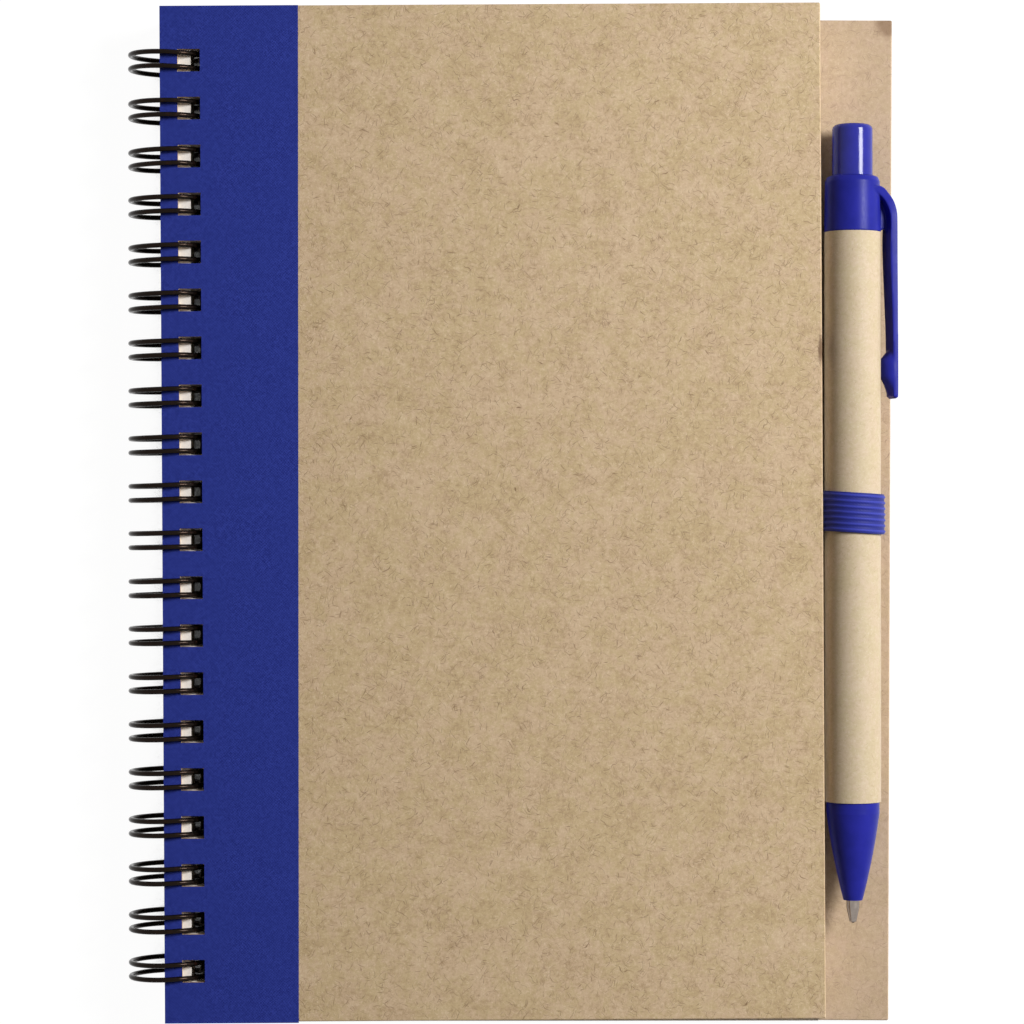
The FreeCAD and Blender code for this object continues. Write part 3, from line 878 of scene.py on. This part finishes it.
# The collar with its clip, moulded in one. Down is measured from the collar's top, reach from the pen's axis
collarLow, collarHigh = boxInMm("pen_clip_collar")
mouldedClip = {
    # the turned outlines as radius and down
    "collar": [(3.7, 0.0), (3.75, 0.0), (4.53, 0.32), (4.85, 1.1), (5.0, 10.05), (3.95, 10.05),
               (3.95, 2.75), (3.7, 2.75)],
    "spigot": [(4.25, 9.3), (4.25, 22.05), (3.86, 22.05), (3.86, 9.3)],
    "turnSteps": 96,
    # the clip's stations as outer reach and down, inner reach and down, half width
    "strip": [(1.72, 2.45, 1.72, 2.9, 3.98), (2.45, 2.2, 2.33, 2.75, 4.18), (3.64, 1.97, 3.01, 3, 3.89),
              (4.76, 2.24, 3.83, 3.55, 3.46), (5.67, 3, 4.7, 4.15, 3.05), (6.68, 4.1, 5.37, 4.85, 2.65),
              (7.24, 5.1, 5.83, 5.65, 2.47), (7.62, 6.4, 6.16, 6.6, 2.35), (7.72, 8, 6.33, 8, 2.34),
              (7.77, 14, 6.29, 14, 2.29), (7.88, 27.9, 6.8, 27.9, 2.14), (7.92, 38.4, 6.92, 38.2, 2.04),
              (7.8, 39.2, 7.15, 39.1, 1.94), (7.63, 39.6, 7.34, 39.6, 1.73)],
    "stepsBetween": 6,
    "sectionSteps": 32,
    "squareness": 12.0,
    # nothing of the clip's root comes nearer to the pen's axis
    "clearOfWorks": 4.3,
    # the web between collar and clip as reach and down
    "web": [(4.2, 3.2), (6.9, 6.9), (6.9, 10.3), (6.45, 10.3),
            (5.9, 9.3), (5.3, 9.6), (4.9, 10.0), (4.2, 10.0)],
    "webHalfWidth": 0.5,
    # reach and down of the nub's ridge, half width
    "nub": [(6.7, 31.0, 1.8), (5.9, 31.9, 2.0), (5.16, 32.9, 2.1), (5.14, 34.3, 2.15), (5.16, 35.6, 2.1),
            (5.6, 36.4, 2.05), (6.05, 37.2, 2.0), (6.9, 39.2, 1.9)],
    "nubRoot": 7.25,
    "drop": 12.5,
    "voxel": 0.15,
    "smoothing": 2,
}


def clipPoint(settings, reach, down, width):
    drop = math.radians(settings["drop"])
    return Vector((
        penAxis["x"] + reach * math.cos(drop) + width * math.sin(drop),
        collarHigh.y - down,
        penAxis["z"] - reach * math.sin(drop) + width * math.cos(drop),
    ))


def addTube(points, faces, rings, capped):
    # rings of equal length joined into a tube, open into itself or capped at both ends
    start, count, size = len(points), len(rings), len(rings[0])
    for ring in rings:
        points.extend(ring)
    for i in range(count - 1 if capped else count):
        one, two = start + i * size, start + (i + 1) % count * size
        for j in range(size):
            k = (j + 1) % size
            faces.append((one + j, one + k, two + k, two + j))
    if capped:
        faces.append(tuple(start + j for j in reversed(range(size))))
        faces.append(tuple(start + (count - 1) * size + j for j in range(size)))


def smoothStations(stations, between):
    # a Catmull-Rom curve through the stations
    line = []
    for i in range(len(stations) - 1):
        four = [stations[min(max(i + j, 0), len(stations) - 1)] for j in (-1, 0, 1, 2)]
        for step in range(between):
            share = step / between
            line.append([
                0.5 * (2 * b + (c - a) * share + (2 * a - 5 * b + 4 * c - d) * share ** 2
                       + (3 * b - a - 3 * c + d) * share ** 3)
                for a, b, c, d in zip(*four)
            ])
    return line + [list(stations[-1])]


def turnedRings(outline, steps):
    rings = []
    for i in range(steps):
        turn = 2 * math.pi * i / steps
        rings.append([Vector((penAxis["x"] + radius * math.sin(turn), collarHigh.y - down,
                              penAxis["z"] + radius * math.cos(turn))) for radius, down in outline])
    return rings


def squared(value, squareness):
    # a cosine or sine bent towards a superellipse's
    return math.copysign(abs(value) ** (2 / squareness), value)


def stripRings(settings):
    steps, rings = settings["sectionSteps"], []
    for outR, outDown, inR, inDown, half in smoothStations(settings["strip"], settings["stepsBetween"]):
        ring = []
        for i in range(steps):
            turn = 2 * math.pi * i / steps
            share = 0.5 + 0.5 * squared(math.cos(turn), settings["squareness"])
            width = half * squared(math.sin(turn), settings["squareness"])
            reach = inR + (outR - inR) * share
            out = max(1.0, settings["clearOfWorks"] / math.hypot(reach, width))
            down = inDown + (outDown - inDown) * share
            ring.append(clipPoint(settings, reach * out, down, width * out))
        rings.append(ring)
    return rings


def nubRings(settings):
    # half rounds that stand on the clip's underside
    steps, rings = settings["sectionSteps"], []
    turns = [2 * math.pi * i / steps for i in range(steps)]
    turns = [turn for turn in turns if math.cos(turn) > -0.01]
    for reach, down, half in smoothStations(settings["nub"], settings["stepsBetween"]):
        depth = settings["nubRoot"] - reach
        rings.append([
            clipPoint(settings, settings["nubRoot"] - depth * max(math.cos(turn), 0.0), down,
                      half * math.sin(turn)) for turn in turns
        ])
    return rings


def mouldTogether(settings, points, faces):
    # overlapping shells made into one skin, with the small fillets of a moulding
    mesh = bpy.data.meshes.new("clipCollarParts")
    mesh.from_pydata([point * mm for point in points], [], faces)
    shells = addObject("clipCollarParts", mesh)
    mould = shells.modifiers.new("mould", "REMESH")
    mould.mode = "VOXEL"
    mould.voxel_size = settings["voxel"] * mm
    mould.use_smooth_shade = True
    polish = shells.modifiers.new("polish", "SMOOTH")
    polish.iterations = settings["smoothing"]
    polish.factor = 0.5
    moulding = shells.evaluated_get(bpy.context.evaluated_depsgraph_get())
    moulded = bpy.data.meshes.new_from_object(moulding)
    bpy.data.objects.remove(shells)
    return moulded


def makeClipCollar(settings, plastic):
    points, faces = [], []
    addTube(points, faces, turnedRings(settings["collar"], settings["turnSteps"]), False)
    root, around = len(points), settings["sectionSteps"]
    addTube(points, faces, stripRings(settings), True)
    # the root's end is closed across its thickness, so that it follows the bore
    del faces[-2]
    for i in range(-around // 4, around // 4):
        four = (i + 1, i, around // 2 - i, around // 2 - i - 1)
        faces.append(tuple(dict.fromkeys(root + j % around for j in four)))
    web = [[clipPoint(settings, reach, down, side) for reach, down in settings["web"]]
           for side in (-settings["webHalfWidth"], settings["webHalfWidth"])]
    addTube(points, faces, web, True)
    addTube(points, faces, nubRings(settings), True)
    moulded = mouldTogether(settings, points, faces)
    # the thin spigot in the barrel keeps its exact sizes
    points, faces = [], []
    addTube(points, faces, turnedRings(settings["spigot"], settings["turnSteps"]), False)
    spigot = bpy.data.meshes.new("spigot")
    spigot.from_pydata([point * mm for point in points], [], faces)
    both = bmesh.new()
    both.from_mesh(spigot)
    bmesh.ops.recalc_face_normals(both, faces=both.faces)
    both.from_mesh(moulded)
    made = bpy.data.meshes.new("moulded_clip_collar")
    both.to_mesh(made)
    both.free()
    made.materials.clear()
    made.materials.append(plastic)
    print(made.name, len(made.polygons), "faces")
    return addObject("moulded_clip_collar", made)


print("clip")
clipCollar = makeClipCollar(mouldedClip, plastic)
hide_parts("pen_clip_collar")
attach(clipCollar, "back_half")


# The table, the light and the camera
table = {
    "size": 4000,
    "bounce": 0.8,
    "shown": 0.08,
    "glow": 0.97,
    "nook": 20.0,
    "nookStep": (0.05, 0.3),
    "nookSamples": 8,
    "clear": 0.02,
}


def seenRays(tree):
    # 1 for what the camera sees, also by reflection or through something clear
    rays = addNode(tree, "ShaderNodeLightPath").outputs
    seen = calc(tree, "MAXIMUM", rays["Is Camera Ray"], rays["Is Glossy Ray"])
    return calc(tree, "MAXIMUM", seen, rays["Is Transmission Ray"])


def makeTableFinish(settings):
    material = bpy.data.materials.new("paleTable")
    material.use_nodes = True
    tree = material.node_tree
    tree.nodes.clear()
    seen = seenRays(tree)
    bounce = addNode(tree, "ShaderNodeBsdfDiffuse", {"Color": (settings["bounce"],) * 3 + (1,)})
    shown = addNode(tree, "ShaderNodeBsdfDiffuse", {"Color": (settings["shown"],) * 3 + (1,)})
    # no glow where the object closes off the sky, such as under its punched holes
    openSky = addNode(tree, "ShaderNodeAmbientOcclusion", {"Distance": settings["nook"] * mm},
                      samples=settings["nookSamples"]).outputs["AO"]
    strength = ramp(tree, openSky, *settings["nookStep"], 0.0, settings["glow"])
    glow = addNode(tree, "ShaderNodeEmission", {"Strength": strength})
    lit = addNode(tree, "ShaderNodeAddShader", {0: shown.outputs[0], 1: glow.outputs[0]})
    mixed = addNode(tree, "ShaderNodeMixShader", {0: seen, 1: bounce.outputs[0], 2: lit.outputs[0]})
    last = addNode(tree, "ShaderNodeOutputMaterial")
    tree.links.new(mixed.outputs[0], last.inputs["Surface"])
    return material


def makeTable(settings):
    # the notebook leans on the wire's underside and the back cover's far edge
    backLow, backHigh = boxInMm("back_cover")
    wireFoot = (wireLow.x + wireHigh.x) / 2
    slope = (backLow.z - wireLow.z) / (backHigh.x - wireFoot)
    half = settings["size"] / 2
    corners = []
    for x, y in ((-half, -half), (half, -half), (half, half), (-half, half)):
        corners.append(Vector((x, y, wireLow.z - settings["clear"] + (x - wireFoot) * slope)) * mm)
    mesh = bpy.data.meshes.new("table")
    mesh.from_pydata(corners, [], [(0, 1, 2, 3)])
    mesh.materials.append(makeTableFinish(settings))
    top = addObject("table", mesh)


# share is the part of full brightness that the lamp gives a level surface
windowLamp = {"name": "windowRight", "turn": 21, "height": 42, "distance": 720, "size": 240, "share": 0.88}
roomSky = {"fill": 0.105, "fillColour": (255, 240, 220)}


def makeLamp(settings):
    turn, height = math.radians(settings["turn"]), math.radians(settings["height"])
    toLamp = Vector((
        math.cos(height) * math.cos(turn),
        math.cos(height) * math.sin(turn),
        math.sin(height),
    ))
    distance = settings["distance"] * mm
    data = bpy.data.lights.new(settings["name"], "AREA")
    data.shape = "SQUARE"
    data.size = settings["size"] * mm
    data.energy = settings["share"] * math.pi ** 2 * distance ** 2 / math.sin(height)
    lamp = addObject(settings["name"], data)
    lamp.location = toLamp * distance
    lamp.rotation_euler = toLamp.to_track_quat("Z", "Y").to_euler()


def makeSky(settings):
    world = bpy.data.worlds.new("paleRoom")
    world.use_nodes = True
    tree = world.node_tree
    tree.nodes.clear()
    seen = seenRays(tree)
    level = calc(tree, "MULTIPLY_ADD", seen, 1.0 - settings["fill"], settings["fill"])
    colour = mixPaint(tree, seen, settings["fillColour"], (255, 255, 255))
    sky = addNode(tree, "ShaderNodeBackground", {"Color": colour, "Strength": level})
    last = addNode(tree, "ShaderNodeOutputWorld")
    tree.links.new(sky.outputs[0], last.inputs["Surface"])
    bpy.context.scene.world = world


# place in millimetres; the clips are metres
camera = {
    "lens": 115.3,
    "sensor": 36,
    "place": (0.22, 0.11, 591.55),
    "roll": -0.05,
    "shift": (0.0, 0.003),
    "clips": (0.01, 20),
}


def makeCamera(settings):
    data = bpy.data.cameras.new("photoCamera")
    data.sensor_width = settings["sensor"]
    data.lens = settings["lens"]
    data.shift_x, data.shift_y = settings["shift"]
    data.clip_start, data.clip_end = settings["clips"]
    eye = addObject("photoCamera", data)
    eye.location = Vector(settings["place"]) * mm
    eye.rotation_euler = (0.0, 0.0, math.radians(settings["roll"]))
    bpy.context.scene.camera = eye


print("table, light and camera")
makeTable(table)
makeLamp(windowLamp)
makeSky(roomSky)
makeCamera(camera)
bpy.context.scene.view_settings.view_transform = "Standard"
